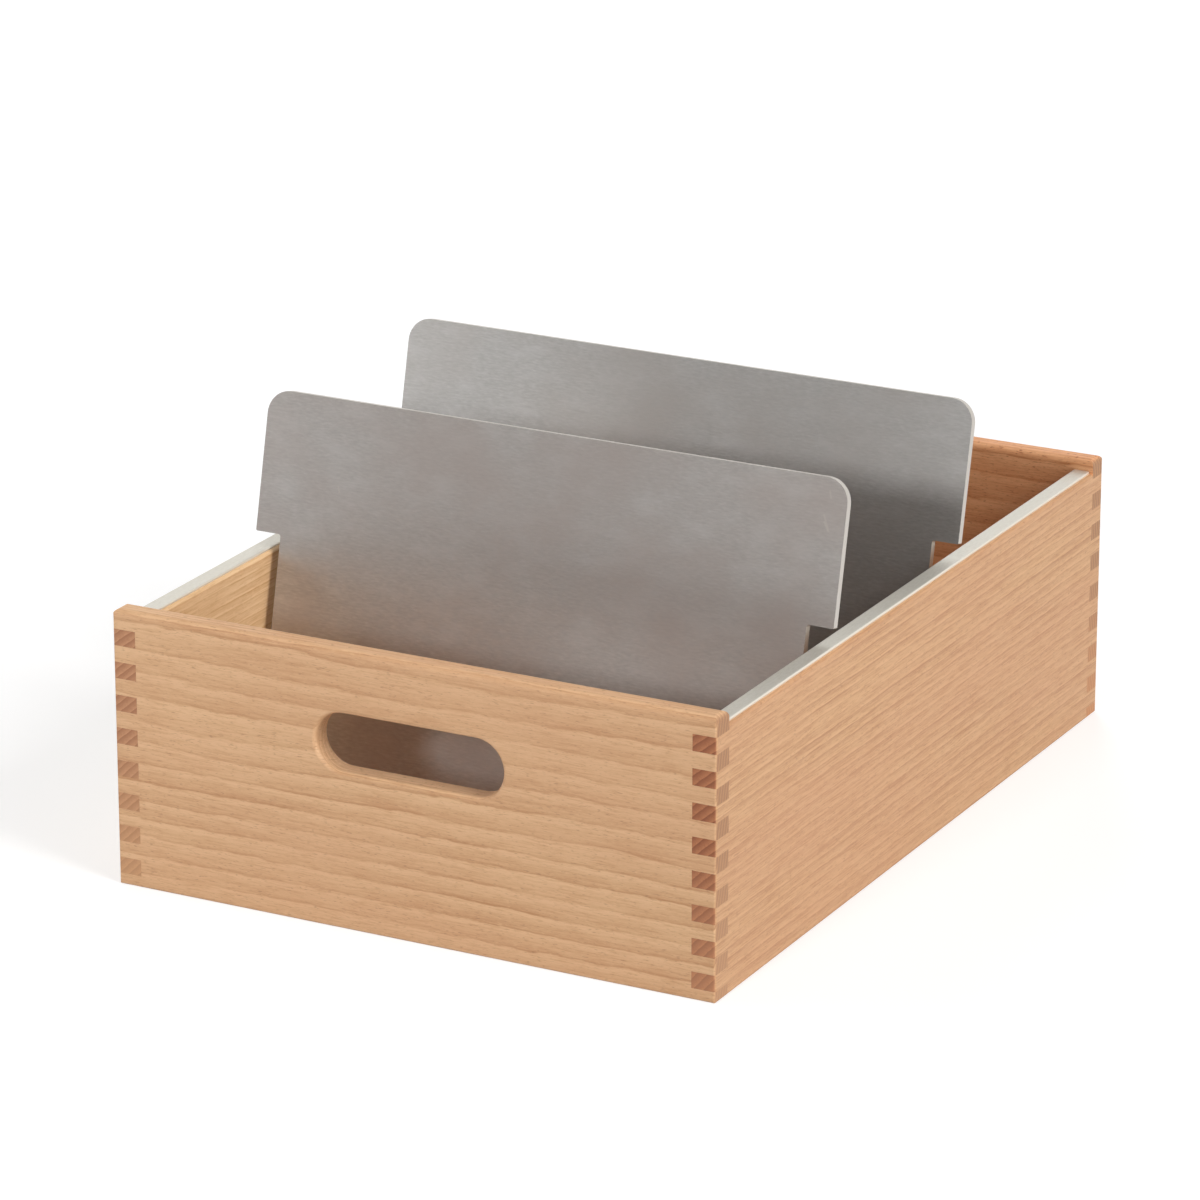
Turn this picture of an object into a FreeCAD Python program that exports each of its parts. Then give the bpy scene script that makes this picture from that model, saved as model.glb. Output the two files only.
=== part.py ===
import FreeCAD, Part
import math
import os

# Index card box: a box-jointed beech tray with two leaning sheet-metal support plates.
# Millimetres. +Z is up, the front board faces -Y, and the origin is the middle of the base.

# Overall size of the wooden box
box_width = 241.0
box_length = 330.0
box_height = 105.0

# Boards, all four sawn from one thickness of beech
board_thickness = 9.3
side_board_drop = 5.3
end_board_top_round = 2.5
side_board_top_round = 1.2
corner_round = 1.0
base_round = 0.8

# Box joint: the end boards start and finish the corner, the side boards' fingers lie between
finger_height = 6.23
top_finger_height = 7.3
least_base_finger = 3.0

# Hand hole in the front board, a slot with full round ends
hand_hole_width = 75.2
hand_hole_height = 22.0
hand_hole_below_top = 34.8
hand_hole_round = 1.5

# Floor panel, held in a stopped groove in all four boards
floor_thickness = 5.0
floor_rise = 6.0
groove_depth = 5.0
floor_edge_gap = 0.5

# Metal strips let into the top edges of the side boards
strip_width = 6.5
strip_thickness = 3.0
strip_proud = 1.0
strip_top_round = 0.6
strip_end_gap = 0.4

# Support plates, each one folded from a sheet
sheet_thickness = 3.0
plate_lean = 13.0
plate_side_gap = 3.6
shoulder_inset = 2.4
shoulder_over_strip = 5.8
shoulder_round = 0.5
notch_round = 1.0
head_height = 53.0
head_corner_radius = 9.0
foot_length = 40.0
fold_inner_radius = 3.0

# Where the front face of each plate crosses its shoulder line, from the middle of the box
front_plate_place = -69.0
rear_plate_place = 36.5

# What follows from the sizes above
half_width = box_width / 2
half_length = box_length / 2
inner_half_width = half_width - board_thickness
inner_half_length = half_length - board_thickness
side_board_top = box_height - side_board_drop
first_finger_top = box_height - top_finger_height
finger_pitch = 2 * finger_height
side_finger_count = int((first_finger_top - finger_height - least_base_finger) / finger_pitch) + 1
hand_hole_centre = box_height - hand_hole_below_top
floor_top = floor_rise + floor_thickness
strip_top = side_board_top + strip_proud
strip_bottom = strip_top - strip_thickness
strip_centre = half_width - board_thickness / 2
plate_body_half = inner_half_width - plate_side_gap
shoulder_half = half_width - shoulder_inset
shoulder_level = strip_top + shoulder_over_strip

# How far a cutting block reaches past the face it opens
margin = 1.0


def vector(x, y, z):
    return FreeCAD.Vector(x, y, z)


def block(x_range, y_range, z_range):
    """A block between two limits along each axis."""
    size = [high - low for low, high in (x_range, y_range, z_range)]
    return Part.makeBox(*size, vector(x_range[0], y_range[0], z_range[0]))


def rounded_rectangle(low, high, radii, place):
    """A flat outline whose four corners, from the low one anticlockwise, have their own radii."""
    corners = [(low[0], low[1]), (high[0], low[1]), (high[0], high[1]), (low[0], high[1])]
    along = [(1, 0), (0, 1), (-1, 0), (0, -1)]
    edges = []
    starts = []
    ends = []
    for index, (u, v) in enumerate(corners):
        radius = radii[index]
        back_u, back_v = [-step for step in along[index - 1]]
        on_u, on_v = along[index]
        start = (u + radius * back_u, v + radius * back_v)
        end = (u + radius * on_u, v + radius * on_v)
        depth = radius * (1 - math.sqrt(0.5))
        middle = (u + depth * (back_u + on_u), v + depth * (back_v + on_v))
        if radius > 0:
            edges.append(Part.Arc(place(*start), place(*middle), place(*end)).toShape())
        starts.append(start)
        ends.append(end)
    for index in range(4):
        edges.append(Part.makeLine(place(*ends[index]), place(*starts[(index + 1) % 4])))
    return Part.Face(Part.Wire(Part.__sortEdges__(edges)))


def along_x(low, high, radii, x_range):
    """A bar along X with the given outline in Y and Z."""
    face = rounded_rectangle(low, high, radii, lambda y, z: vector(x_range[0], y, z))
    return face.extrude(vector(x_range[1] - x_range[0], 0, 0))


def along_y(low, high, radii, y_range):
    """A bar along Y with the given outline in X and Z."""
    face = rounded_rectangle(low, high, radii, lambda x, z: vector(x, y_range[0], z))
    return face.extrude(vector(0, y_range[1] - y_range[0], 0))


def along_z(low, high, radii, z_range):
    """A bar along Z with the given outline in X and Y."""
    face = rounded_rectangle(low, high, radii, lambda x, y: vector(x, y, z_range[0]))
    return face.extrude(vector(0, 0, z_range[1] - z_range[0]))


def side_finger_levels():
    """Bottom and top of each side-board finger, from the top one down."""
    levels = []
    for index in range(side_finger_count):
        top = first_finger_top - index * finger_pitch
        levels.append((top - finger_height, top))
    return levels


def end_finger_levels():
    """Bottom and top of each end-board finger: what the side fingers leave of the corner."""
    limits = [box_height]
    for bottom, top in side_finger_levels():
        limits += [top, bottom]
    limits.append(0.0)
    return [(limits[index + 1], limits[index]) for index in range(0, len(limits), 2)]


def mirrored_x(shape):
    return shape.mirror(vector(0, 0, 0), vector(1, 0, 0))


def mirrored_y(shape):
    return shape.mirror(vector(0, 0, 0), vector(0, 1, 0))


def floor_groove():
    """The space that the floor panel's groove takes out of the four boards."""
    reach_x = inner_half_width + groove_depth
    reach_y = inner_half_length + groove_depth
    return block((-reach_x, reach_x), (-reach_y, reach_y), (floor_rise, floor_top))


def make_end_board():
    """The board at the front end, before any hand hole: rounded along the top and its ends."""
    outer = -half_length
    inner = -inner_half_length
    top = end_board_top_round
    across = along_x((outer, 0), (inner, box_height), (base_round, 0, top, top),
                     (-half_width, half_width))
    upright = along_y((-half_width, 0), (half_width, box_height), (base_round, base_round, top, top),
                      (outer, inner))
    plan = along_z((-half_width, outer), (half_width, inner), (corner_round, corner_round, 0, 0),
                   (0, box_height))
    board = across.common(upright).common(plan)
    for level in side_finger_levels():
        socket = block((inner_half_width, half_width + margin), (outer - margin, inner + margin), level)
        board = board.cut(socket).cut(mirrored_x(socket))
    return board.cut(floor_groove())


def cut_hand_hole(board):
    """A slot with full round ends, its rims rounded on both faces of the board."""
    radius = hand_hole_height / 2
    straight = hand_hole_width / 2 - radius
    outside = -half_length - margin
    depth = board_thickness + 2 * margin
    slot = block((-straight, straight), (outside, outside + depth),
                 (hand_hole_centre - radius, hand_hole_centre + radius))
    for x in (-straight, straight):
        round_end = Part.makeCylinder(radius, depth, vector(x, outside, hand_hole_centre), vector(0, 1, 0))
        slot = slot.fuse(round_end)
    slot = slot.removeSplitter()
    pierced = board.cut(slot)
    around_slot = slot.BoundBox
    around_slot.enlarge(margin)
    rims = [edge for edge in pierced.Edges
            if around_slot.isInside(edge.BoundBox) and edge.BoundBox.YLength < margin]
    return pierced.makeFillet(hand_hole_round, rims)


def make_side_board():
    """The right-hand board: fingers at both ends, and a groove along the top for its strip."""
    top = side_board_top_round
    bar = along_y((inner_half_width, 0), (half_width, side_board_top), (0, base_round, top, top),
                  (-half_length, half_length))
    plan = along_z((inner_half_width, -half_length), (half_width, half_length),
                   (0, corner_round, corner_round, 0), (0, side_board_top))
    board = bar.common(plan)
    for level in end_finger_levels():
        socket = block((inner_half_width - margin, half_width + margin),
                       (-half_length - margin, -inner_half_length), level)
        board = board.cut(socket).cut(mirrored_y(socket))
    strip_groove = block((strip_centre - strip_width / 2, strip_centre + strip_width / 2),
                         (-inner_half_length, inner_half_length), (strip_bottom, box_height))
    return board.cut(strip_groove).cut(floor_groove())


def make_floor_panel():
    """The thin panel that the cards stand on, short of the groove's bottom on every side."""
    reach_x = inner_half_width + groove_depth - floor_edge_gap
    reach_y = inner_half_length + groove_depth - floor_edge_gap
    return block((-reach_x, reach_x), (-reach_y, reach_y), (floor_rise, floor_top))


def make_edge_strip():
    """The flat metal bar in the right side board's top edge, its upper edges rounded."""
    reach = inner_half_length - strip_end_gap
    return along_y((strip_centre - strip_width / 2, strip_bottom),
                   (strip_centre + strip_width / 2, strip_top),
                   (0, 0, strip_top_round, strip_top_round), (-reach, reach))


def plate_body(place):
    """The leaning body below the shoulders and its foot, one sheet folded along the heel."""
    lean = math.radians(plate_lean)
    outer_radius = fold_inner_radius + sheet_thickness
    fold_z = floor_top + outer_radius
    fold_y = place + (outer_radius - (shoulder_level - fold_z) * math.sin(lean)) / math.cos(lean)
    foot_end = fold_y - outer_radius + foot_length
    leaning_side = math.pi - lean
    lower_side = 1.5 * math.pi

    def point(y, z):
        return vector(-plate_body_half, y, z)

    def on_fold(radius, angle):
        return point(fold_y + radius * math.cos(angle), fold_z + radius * math.sin(angle))

    def fold_arc(radius):
        middle = (leaning_side + lower_side) / 2
        return Part.Arc(on_fold(radius, leaning_side), on_fold(radius, middle),
                        on_fold(radius, lower_side)).toShape()

    shoulder_front = point(place, shoulder_level)
    shoulder_back = point(place + sheet_thickness * math.cos(lean),
                          shoulder_level - sheet_thickness * math.sin(lean))
    foot_bottom = point(foot_end, floor_top)
    foot_top = point(foot_end, floor_top + sheet_thickness)
    edges = [
        Part.makeLine(shoulder_front, on_fold(outer_radius, leaning_side)),
        fold_arc(outer_radius),
        Part.makeLine(on_fold(outer_radius, lower_side), foot_bottom),
        Part.makeLine(foot_bottom, foot_top),
        Part.makeLine(foot_top, on_fold(fold_inner_radius, lower_side)),
        fold_arc(fold_inner_radius),
        Part.makeLine(on_fold(fold_inner_radius, leaning_side), shoulder_back),
        Part.makeLine(shoulder_back, shoulder_front),
    ]
    section = Part.Face(Part.Wire(Part.__sortEdges__(edges)))
    return section.extrude(vector(2 * plate_body_half, 0, 0))


def plate_head(place):
    """The wider head above the shoulders, drawn upright with rounded corners and then leaned."""
    head = along_y((-shoulder_half, shoulder_level), (shoulder_half, shoulder_level + head_height),
                   (shoulder_round, shoulder_round, head_corner_radius, head_corner_radius),
                   (place, place + sheet_thickness))
    head.rotate(vector(0, place, shoulder_level), vector(1, 0, 0), -plate_lean)
    return head


def make_support_plate(place):
    """Head and body in one sheet, with a small radius in the corner under each shoulder."""
    plate = plate_head(place).fuse(plate_body(place)).removeSplitter()
    notch_corners = []
    for edge in plate.Edges:
        middle = edge.CenterOfMass
        beside_body = abs(abs(middle.x) - plate_body_half) < notch_round
        under_shoulder = abs(middle.z - shoulder_level) < notch_round
        if beside_body and under_shoulder and edge.Length < 2 * sheet_thickness:
            notch_corners.append(edge)
    return plate.makeFillet(notch_round, notch_corners)


front_board = cut_hand_hole(make_end_board())
side_board = make_side_board()
edge_strip = make_edge_strip()
nodes = {
    "front_board": front_board,
    "back_board": mirrored_y(make_end_board()),
    "right_side_board": side_board,
    "left_side_board": mirrored_x(side_board),
    "floor_panel": make_floor_panel(),
    "right_edge_strip": edge_strip,
    "left_edge_strip": mirrored_x(edge_strip),
    "front_support_plate": make_support_plate(front_plate_place),
    "rear_support_plate": make_support_plate(rear_plate_place),
}

os.makedirs("parts", exist_ok=True)
for name, shape in nodes.items():
    shape.exportStep("parts/" + name + ".step")
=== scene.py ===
import math

import bpy
from mathutils import Matrix, Vector

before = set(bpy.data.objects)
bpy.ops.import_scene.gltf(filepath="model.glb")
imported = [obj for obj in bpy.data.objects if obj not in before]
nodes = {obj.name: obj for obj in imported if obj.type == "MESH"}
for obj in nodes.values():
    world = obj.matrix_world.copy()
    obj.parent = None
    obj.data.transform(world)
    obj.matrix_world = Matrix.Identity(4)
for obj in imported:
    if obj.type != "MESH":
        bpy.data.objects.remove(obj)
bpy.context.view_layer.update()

# The photograph's view: azimuth 0 looks along +Y, and the lens is for a 36 mm square frame
VIEW_AZIMUTH = 27.723
VIEW_ELEVATION = 19.145
VIEW_DISTANCE = 2.2526
VIEW_TARGET = (-0.01101, 0.0, 0.07532)
LENS_MM = 181.44

# Levels of the studio: the floor's own white, what is seen on top of it, the sky and the flag's cloth
FLOOR_WHITE = 0.58
FLOOR_LIFT = 0.5
SKY_LEVEL = 0.17
CLOTH_DARK = 0.1

# The studio in metres: half the floor, the point that the lamps look at, and the flag's size
FLOOR_REACH = 4.0
LAMP_AIM = (0, 0, 0.08)
FLAG_RADIUS = 3.2
FLAG_HEIGHT = 4.6
FLAG_AZIMUTHS = range(-105, 16, 10)

# The boards in millimetres: clear of the hand hole, end grain starts this far from the middle, so that
# the hole's end walls keep the face's pale colour as painted light; and end grain is paler below this
# height
LIT_HOLE_CLEAR = 50
PALE_END_TOP = 60

# Noise seldom leaves this range
NOISE_LOW, NOISE_HIGH = 0.2, 0.8


def linear(hex_colour):
    """An sRGB hex colour as the linear values that Blender works in."""
    values = [int(hex_colour[i:i + 2], 16) / 255 for i in (1, 3, 5)]
    return [v / 12.92 if v <= 0.04045 else ((v + 0.055) / 1.055) ** 2.4 for v in values] + [1.0]


def add(tree, kind, inputs=(), **settings):
    """Adds one node. Inputs are named, or listed in the order of the node's live sockets.

    An input that is a node is linked from that node's first live output.
    """
    made = tree.nodes.new("ShaderNode" + kind)
    for name, value in settings.items():
        setattr(made, name, value)
    if isinstance(inputs, dict):
        pairs = [(made.inputs[name], value) for name, value in inputs.items()]
    else:
        pairs = zip([socket for socket in made.inputs if socket.enabled], inputs)
    for socket, value in pairs:
        if isinstance(value, bpy.types.Node):
            value = next(out for out in value.outputs if out.enabled)
        if isinstance(value, bpy.types.NodeSocket):
            tree.links.new(value, socket)
        else:
            socket.default_value = value
    return made


def bare_material(name):
    """A fresh material with nothing in its tree."""
    material = bpy.data.materials.new(name)
    material.use_nodes = True
    material.node_tree.nodes.clear()
    return material, material.node_tree


def new_material(name):
    """A fresh material: its tree, the surface's place in millimetres, and the way that it faces."""
    material, tree = bare_material(name)
    surface = add(tree, "TexCoord").outputs
    place = add(tree, "VectorMath", {"Vector": surface["Object"], "Scale": 1000.0}, operation="SCALE")
    return material, tree, place, surface["Normal"]


def finish_material(tree, colour, roughness, height, depth_mm, **shader_values):
    """Joins colour, roughness and relief in one shader; depth_mm is the relief's real depth."""
    bump = add(tree, "Bump", {"Strength": 1.0, "Distance": depth_mm / 1000, "Height": height.outputs[0]})
    shader = add(tree, "BsdfPrincipled", {"Base Color": colour, "Roughness": roughness, "Normal": bump})
    for name, value in shader_values.items():
        shader.inputs[name].default_value = value
    add(tree, "OutputMaterial", {"Surface": shader})


def speckle(tree, where, sizes, seed, detail=2.0):
    """Noise whose specks have the given sizes in millimetres along the three directions."""
    scaled = add(tree, "VectorMath", (where, sizes), operation="DIVIDE")
    values = {"Vector": scaled, "W": seed, "Scale": 1.0, "Detail": detail, "Roughness": 0.55}
    return add(tree, "TexNoise", values, noise_dimensions="4D")


def overlay(tree, colour, shade, amount, low, high, most):
    """Lays a shade over a colour, from nothing where amount is low up to most where it is high."""
    share = add(tree, "MapRange", (amount, low, high, 0.0, most))
    return add(tree, "Mix", (share, colour, linear(shade)), data_type="RGBA")


def beech(name, axes, pith, ring, face, end, seed, wander=1.0, streak=(14, 0.8, 0.45), fleck=0.5):
    """Steamed European beech, planed, sanded and sealed with a clear satin varnish.

    The board is cut from a log modelled round its pith: flat-sawn faces show wide wavy rings, each a
    thin dark line over a pale band, rift-sawn ones show close broken streaks, and short brown ray
    flecks lie along the grain. End grain shows the same rings on a darker, redder ground.

    Sizes are in millimetres. axes says which way grain, thickness and width run, ring is a year's
    width, and wander how far the rings stray. streak is a fibre streak's length, width and strength,
    and fleck the strength of the flecks. The pores are about 0.08 mm wide, and are drawn as streaks
    of 0.5 mm so that they show in the render.
    """
    material, tree, place, facing = new_material(name)
    part = add(tree, "SeparateXYZ", (place,)).outputs
    along, thick, wide = [part["XYZ".index(axis)] for axis in axes]
    board = add(tree, "CombineXYZ", (along, thick, wide))
    thick_off = add(tree, "Math", (thick, pith[0]), operation="SUBTRACT")
    wide_off = add(tree, "Math", (wide, pith[1]), operation="SUBTRACT")
    from_pith = add(tree, "CombineXYZ", (0.0, thick_off, wide_off))
    true_radius = add(tree, "VectorMath", (from_pith,), operation="LENGTH")
    angle = add(tree, "Math", (wide_off, thick_off), operation="ARCTAN2")
    round_pith = add(tree, "Math", (angle, math.hypot(*pith)), operation="MULTIPLY")

    # Growth wanders slowly along the trunk, and a little from fibre to fibre
    shiver = 0.22
    slow = speckle(tree, board, sizes=(150, 34, 34), seed=seed)
    slow = add(tree, "MapRange", (slow, NOISE_LOW, NOISE_HIGH, -wander, wander))
    quick = speckle(tree, board, sizes=(11, 2.6, 2.6), seed=seed + 3, detail=3.0)
    quick = add(tree, "MapRange", (quick, NOISE_LOW, NOISE_HIGH, -shiver, shiver))
    drift = add(tree, "Math", (slow, quick), operation="ADD")
    radius = add(tree, "Math", (true_radius, drift), operation="ADD")
    log = add(tree, "CombineXYZ", (along, radius, round_pith))

    # One year's growth: pale early wood that slowly darkens to a thin line of late wood. A stop is the
    # share of the year gone by, and how much of the late wood's colour shows
    years = add(tree, "Math", (radius, ring), operation="DIVIDE")
    phase = add(tree, "Math", (years,), operation="FRACT")
    season = add(tree, "ValToRGB", (phase,))
    stops = ((0.0, 0.0), (0.14, 0.0), (0.4, 0.36), (0.82, 0.62), (0.93, 1.1), (1.0, 0.0))
    stretch = season.color_ramp.elements
    while len(stretch) < len(stops):
        stretch.new(0.5)
    for element, (position, level) in zip(stretch, stops):
        element.position = position
        element.color = (level, level, level, 1)
    # Some years are faint, others strong
    faint, strong = 0.45, 1.1
    year = speckle(tree, log, sizes=(70, ring * 1.4, 45), seed=seed + 7, detail=1.0)
    strength = add(tree, "MapRange", (year, 0.35, 0.65, faint, strong))
    late = add(tree, "Math", (season, strength), operation="MULTIPLY")

    # Broad tones in the heart wood, fibres and pores along the grain, and ray flecks across the rings
    length, width, depth = streak
    tone = speckle(tree, board, sizes=(150, 30, 30), seed=seed + 11)
    fibre = speckle(tree, log, sizes=(length, width, width), seed=seed + 17)
    pore = speckle(tree, log, sizes=(length * 0.4, 0.5, 0.5), seed=seed + 29, detail=1.0)
    dash = speckle(tree, log, sizes=(2.4, 0.6, 0.4), seed=seed + 37, detail=1.0)
    ray = speckle(tree, log, sizes=(2.2, 7.0, 0.45), seed=seed + 23, detail=1.0)

    pale, dark, pink, flecked = face
    colour = add(tree, "Mix", (late, linear(pale), linear(dark)), data_type="RGBA")
    colour = overlay(tree, colour, pink, tone, low=0.35, high=0.7, most=0.65)
    colour = overlay(tree, colour, dark, fibre, low=0.5, high=0.74, most=depth * 1.2)
    colour = overlay(tree, colour, pale, fibre, low=0.5, high=0.26, most=depth * 1.2)
    colour = overlay(tree, colour, dark, pore, low=0.52, high=0.72, most=depth)
    colour = overlay(tree, colour, pale, dash, low=0.42, high=0.3, most=0.4)
    colour = overlay(tree, colour, flecked, dash, low=0.63, high=0.76, most=fleck * 0.6)
    colour = overlay(tree, colour, flecked, ray, low=0.61, high=0.72, most=fleck)

    # End grain lies where the surface looks along the grain. It is darker, but paler towards the base,
    # and the ends of the hand hole, near the middle of their board, keep the face's paler colour: painted
    # light in place of their darker end grain
    ground, rings = end
    grit = speckle(tree, log, sizes=(6, 0.6, 0.6), seed=seed + 31)
    cut = overlay(tree, linear(ground), rings, phase, low=0.1, high=0.9, most=0.8)
    cut = overlay(tree, cut, rings, grit, low=0.45, high=0.75, most=0.4)
    cut = overlay(tree, cut, pink, wide, low=PALE_END_TOP, high=0.0, most=0.4)
    turned = add(tree, "SeparateXYZ", (facing,)).outputs["XYZ".index(axes[0])]
    turned = add(tree, "Math", (turned,), operation="ABSOLUTE")
    end_grain = add(tree, "MapRange", (turned, 0.6, 0.92))
    # Near the middle the end grain is left out, which paints the hand hole's lit end walls pale
    from_middle = add(tree, "Math", (along,), operation="ABSOLUTE")
    outside_lit_hole = add(tree, "MapRange", (from_middle, LIT_HOLE_CLEAR, LIT_HOLE_CLEAR + 10))
    end_grain = add(tree, "Math", (end_grain, outside_lit_hole), operation="MULTIPLY")
    colour = add(tree, "Mix", (end_grain, colour, cut), data_type="RGBA")

    # The varnish is satin on the faces, and the end grain drinks it and dries rougher
    smooth, rough, drier = 0.46, 0.56, 0.14
    sheen = add(tree, "MapRange", (fibre, 0.3, 0.7, smooth, rough))
    dry = add(tree, "MapRange", (end_grain, 0.0, 1.0, 0.0, drier))
    roughness = add(tree, "Math", (sheen, dry), operation="ADD")
    finish_material(tree, colour, roughness, fibre, depth_mm=0.03)
    return material


def aluminium_sheet(name, brush, flat, shades, edge, roughness, metallic, seed, scratches=()):
    """Aluminium rolled to a mill finish, then brushed one way: a grey satin face with a fine short
    grain and a soft clouding, a few bright handling scratches, and paler edges, partly the cut metal's
    own paleness and partly painted highlight.

    brush is the way of the grain, and flat the axis that the wide faces look along. shades are the
    ground, the dim and bright grain, and the warm clouds. The real grain is about 0.1 mm wide, and is
    drawn 0.7 mm wide so that it shows in the render.
    """
    material, tree, place, facing = new_material(name)
    along = "XYZ".index(brush)
    grain, broad = [0.7, 0.7, 0.7], [6.0, 6.0, 6.0]
    grain[along], broad[along] = 2.8, 15.0
    hair = speckle(tree, place, sizes=grain, seed=seed)
    band = speckle(tree, place, sizes=broad, seed=seed + 5)
    cloud = speckle(tree, place, sizes=(45, 45, 38), seed=seed + 9)
    ground, dim, bright, warm = shades
    colour = overlay(tree, linear(ground), dim, hair, low=0.45, high=0.7, most=0.8)
    colour = overlay(tree, colour, bright, hair, low=0.45, high=0.25, most=0.8)
    colour = overlay(tree, colour, bright, band, low=0.5, high=0.75, most=0.5)
    colour = overlay(tree, colour, warm, cloud, low=0.4, high=0.7, most=0.7)

    # A scratch brightens what lies within half a millimetre of the line from its start to its end
    for start, end in scratches:
        reach = [end[0] - start[0], end[1] - start[1], end[2] - start[2]]
        span = sum(step * step for step in reach)
        gap = add(tree, "VectorMath", (place, start), operation="SUBTRACT")
        gap = add(tree, "VectorMath", (gap, (1, 0, 1)), operation="MULTIPLY")
        share = add(tree, "VectorMath", (gap, [step / span for step in reach]), operation="DOT_PRODUCT")
        share = add(tree, "Math", (share, 0.0), operation="ADD", use_clamp=True)
        nearest = add(tree, "VectorMath", {"Vector": reach, "Scale": share.outputs[0]}, operation="SCALE")
        away = add(tree, "VectorMath", (gap, nearest), operation="DISTANCE")
        colour = overlay(tree, colour, edge, away, low=0.5, high=0.1, most=0.5)

    # The paler edges are the faces that don't look along the flat axis: partly the cut metal's own
    # paleness, partly painted highlight
    square_on = add(tree, "SeparateXYZ", (facing,)).outputs["XYZ".index(flat)]
    square_on = add(tree, "Math", (square_on,), operation="ABSOLUTE")
    colour = overlay(tree, colour, edge, square_on, low=0.9, high=0.6, most=1.0)
    swing = 0.04
    rough = add(tree, "MapRange", (hair, 0.3, 0.7, roughness - swing, roughness + swing))
    finish_material(tree, colour, rough, hair, depth_mm=0.01, Metallic=metallic)
    return material


def wear(node_name, material):
    """Gives a CAD node its finish."""
    for slot in nodes[node_name].material_slots:
        slot.material = material


def looked_at(tree):
    """1 for rays that look at the background, straight, mirrored or through glass, and 0 for light."""
    path = add(tree, "LightPath").outputs
    direct = add(tree, "Math", (path["Is Camera Ray"], path["Is Glossy Ray"]), operation="ADD")
    return add(tree, "Math", (direct, path["Is Transmission Ray"]), operation="ADD", use_clamp=True)


def set_up(name, corners, faces, material):
    """Stands a plain mesh in the studio."""
    mesh = bpy.data.meshes.new(name)
    mesh.from_pydata(corners, [], faces)
    mesh.materials.append(material)
    thing = bpy.data.objects.new(name, mesh)
    bpy.context.scene.collection.objects.link(thing)
    return thing


def studio_floor():
    """A wide sheet of matt white paper, seen lifted to white round the object's shadow."""
    material, tree = bare_material("matt_white_paper")
    paper = add(tree, "BsdfDiffuse", {"Color": (FLOOR_WHITE, FLOOR_WHITE, FLOOR_WHITE, 1)})
    lift = add(tree, "Math", (looked_at(tree), FLOOR_LIFT), operation="MULTIPLY")
    glow = add(tree, "Emission", {"Strength": lift})
    add(tree, "OutputMaterial", {"Surface": add(tree, "AddShader", (paper, glow))})
    reach = FLOOR_REACH
    corners = [(-reach, -reach, 0), (reach, -reach, 0), (reach, reach, 0), (-reach, reach, 0)]
    floor = set_up("studio_floor", corners, [(0, 1, 2, 3)], material)


def studio_world():
    """Low even light from all round, and plain white behind the box and in its reflections."""
    world = bpy.data.worlds.new("studio")
    world.use_nodes = True
    tree = world.node_tree
    tree.nodes.clear()
    strength = add(tree, "MapRange", (looked_at(tree), 0.0, 1.0, SKY_LEVEL, 1.0))
    background = add(tree, "Background", {"Color": (1, 1, 1, 1), "Strength": strength})
    add(tree, "OutputWorld", {"Surface": background})
    bpy.context.scene.world = world


def towards(azimuth, elevation):
    """The way from the box to an azimuth and elevation; azimuth 0 is in front, 90 on the right."""
    turn, rise = math.radians(azimuth), math.radians(elevation)
    return Vector((math.sin(turn) * math.cos(rise), -math.cos(turn) * math.cos(rise), math.sin(rise)))


def soft_lamp(name, azimuth, elevation, distance, size, level):
    """A square soft box aimed at the box; level 1 lights a white sheet that faces it to plain white."""
    data = bpy.data.lights.new(name, "AREA")
    data.size = size
    data.energy = level * (math.pi * distance) ** 2
    lamp = bpy.data.objects.new(name, data)
    away = towards(azimuth, elevation)
    lamp.location = Vector(LAMP_AIM) + away * distance
    lamp.rotation_euler = away.to_track_quat("Z", "Y").to_euler()
    bpy.context.scene.collection.objects.link(lamp)
    return lamp


def dark_flag():
    """A tall dark flag at the front left. Only reflections see it: it gives sheet metal its grey."""
    material, tree = bare_material("matt_dark_cloth")
    cloth = add(tree, "BsdfDiffuse", {"Color": (CLOTH_DARK, CLOTH_DARK, CLOTH_DARK, 1)})
    add(tree, "OutputMaterial", {"Surface": cloth})
    rim = [towards(azimuth, 0) * FLAG_RADIUS for azimuth in FLAG_AZIMUTHS]
    corners = [(spot.x, spot.y, height) for height in (0.0, FLAG_HEIGHT) for spot in rim]
    count = len(rim)
    faces = [(i, i + 1, count + i + 1, count + i) for i in range(count - 1)]
    flag = set_up("dark_flag", corners, faces, material)
    flag.visible_camera = False
    flag.visible_diffuse = False
    flag.visible_shadow = False


def photo_camera():
    """The camera, at the photograph's viewing angle."""
    back = towards(VIEW_AZIMUTH, VIEW_ELEVATION)
    right = Vector((0, 0, 1)).cross(back).normalized()
    level = Matrix((right, back.cross(right), back)).transposed()
    data = bpy.data.cameras.new("photo_camera")
    data.sensor_width = 36.0
    data.lens = LENS_MM
    camera = bpy.data.objects.new("photo_camera", data)
    camera.matrix_world = Matrix.Translation(Vector(VIEW_TARGET) + back * VIEW_DISTANCE) @ level.to_4x4()
    bpy.context.scene.collection.objects.link(camera)
    bpy.context.scene.camera = camera


bpy.context.scene.view_settings.view_transform = "Standard"
photo_camera()
studio_floor()
studio_world()
# The small front lamp throws the front plate's soft shadow on the rear one, and the large right one
# lights the right side and leaves the dark line beside the front plate
soft_lamp("front_soft_box", azimuth=0, elevation=20.5, distance=2.6, size=0.32, level=0.27)
soft_lamp("right_soft_box", azimuth=77, elevation=36, distance=4.0, size=1.5, level=0.71)
# These two lift the hand hole's end wall and the left half of the front board, the next the top edges
soft_lamp("right_front_soft_box", azimuth=58, elevation=10, distance=3.0, size=1.0, level=0.12)
soft_lamp("left_soft_box", azimuth=-55, elevation=12, distance=1.1, size=0.45, level=0.19)
soft_lamp("top_soft_box", azimuth=0, elevation=80, distance=2.4, size=1.2, level=0.09)
# For the views from behind; metal doesn't mirror it, so that it doesn't whiten the strips
back_lamp = soft_lamp("back_soft_box", azimuth=215, elevation=26, distance=3.2, size=1.4, level=0.5)
back_lamp.visible_glossy = False
dark_flag()

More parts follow.
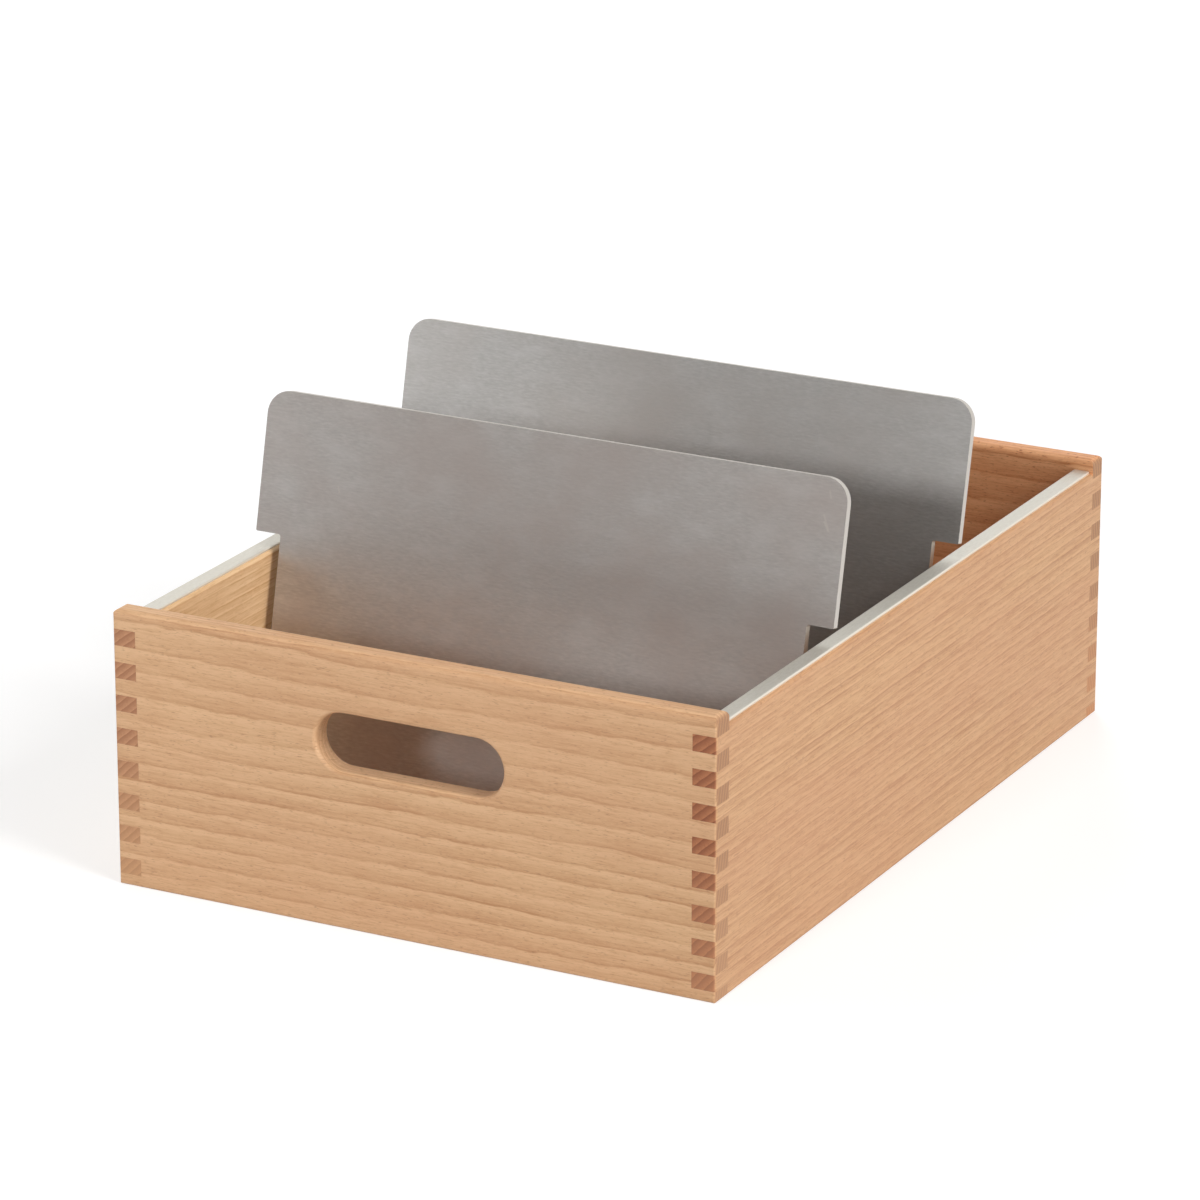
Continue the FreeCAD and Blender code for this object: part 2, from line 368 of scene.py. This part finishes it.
# Face tones: pale early wood, dark late wood, pinkish heart tone, ray fleck
BEECH_FRONT = ("#DDB48A", "#B8865B", "#D2A37C", "#8F6140")
BEECH_SIDE = ("#D6A97C", "#B07D56", "#CD9972", "#946344")
BEECH_INNER = ("#E5C297", "#C0915F", "#D9AE7E", "#A27248")
# The back board's tones are redder and more saturated than the others: partly its own tone, partly painted
# warm bounce light from its shaded inside
BEECH_BACK_WITH_PAINTED_BOUNCE = ("#EFB484", "#C67F4F", "#E79F6B", "#9E5932")
# End grain: ground and rings
END_DARK = ("#B0714A", "#7C4228")
END_PINK = ("#BE8A65", "#9A6646")
END_PALE = ("#BA8D66", "#986D52")

front_beech = beech("flat_sawn_beech_front", axes="XYZ", pith=(-1315, 355), ring=2.0, face=BEECH_FRONT,
                    end=END_PALE, seed=5.0, wander=0.8, streak=(14, 0.8, 0.38), fleck=0.4)
back_beech = beech("flat_sawn_beech_back", axes="XYZ", pith=(1200, 330), ring=2.1, face=BEECH_BACK_WITH_PAINTED_BOUNCE,
                   end=END_PALE, seed=41.0, wander=0.9, streak=(14, 0.8, 0.45), fleck=0.65)
right_beech = beech("rift_sawn_beech_right", axes="YXZ", pith=(350, -200), ring=2.8, face=BEECH_SIDE,
                    end=END_DARK, seed=73.0, wander=0.45, streak=(15, 0.65, 0.45), fleck=0.35)
left_beech = beech("rift_sawn_beech_left", axes="YXZ", pith=(160, -260), ring=2.6, face=BEECH_INNER,
                   end=END_PINK, seed=97.0, wander=0.6, streak=(18, 0.8, 0.42), fleck=0.15)
floor_veneer = beech("rotary_cut_beech_plywood", axes="YZX", pith=(-900, 60), ring=2.4,
                     face=BEECH_SIDE, end=END_PALE, seed=131.0)

# Sheet and bar: ground, dim grain, bright grain, warm clouds; then their paler edges, partly painted
# highlight
# The front plate is the same aluminium as the rear one, but its shades are darker and warmer: painted shade
# and a painted warm reflection of the wood
FRONT_SHEET_PAINTED_SHADE = ("#AFAAA6", "#9D9894", "#C0BCB9", "#A89D97")
REAR_SHEET = ("#B9B7B4", "#A7A4A1", "#CAC8C6", "#B1ABA6")
BAR_SHADES = ("#DBD7CC", "#D2CDC2", "#E2DFD6", "#D8D3C7")
SHEET_EDGE = "#C6C0B8"
# The bar's paler rims are painted highlight on its rounded edges
BAR_RIM_HIGHLIGHT = "#E6DED0"
# Where handling has scratched the front plate: the start and end of each scratch, in millimetres
SCRATCHES = (((109.6, 0, 144.9), (112.0, 0, 139.6)), ((110.0, 0, 142.5), (111.6, 0, 139.8)),
             ((110.9, 0, 153.4), (111.6, 0, 151.0)), ((-85.5, 0, 127.0), (-84.8, 0, 125.0)))

front_sheet = aluminium_sheet("brushed_aluminium_front", brush="X", flat="Y", shades=FRONT_SHEET_PAINTED_SHADE,
                              edge=SHEET_EDGE, roughness=0.39, metallic=0.85, seed=1.0, scratches=SCRATCHES)
rear_sheet = aluminium_sheet("brushed_aluminium_rear", brush="X", flat="Y", shades=REAR_SHEET,
                             edge=SHEET_EDGE, roughness=0.39, metallic=0.85, seed=51.0)
strip_metal = aluminium_sheet("satin_aluminium_bar", brush="Y", flat="Z", shades=BAR_SHADES,
                              edge=BAR_RIM_HIGHLIGHT, roughness=0.45, metallic=0.7, seed=77.0)

wear("front_board", front_beech)
wear("back_board", back_beech)
wear("right_side_board", right_beech)
wear("left_side_board", left_beech)
wear("floor_panel", floor_veneer)
wear("left_edge_strip", strip_metal)
wear("right_edge_strip", strip_metal)
wear("front_support_plate", front_sheet)
wear("rear_support_plate", rear_sheet)
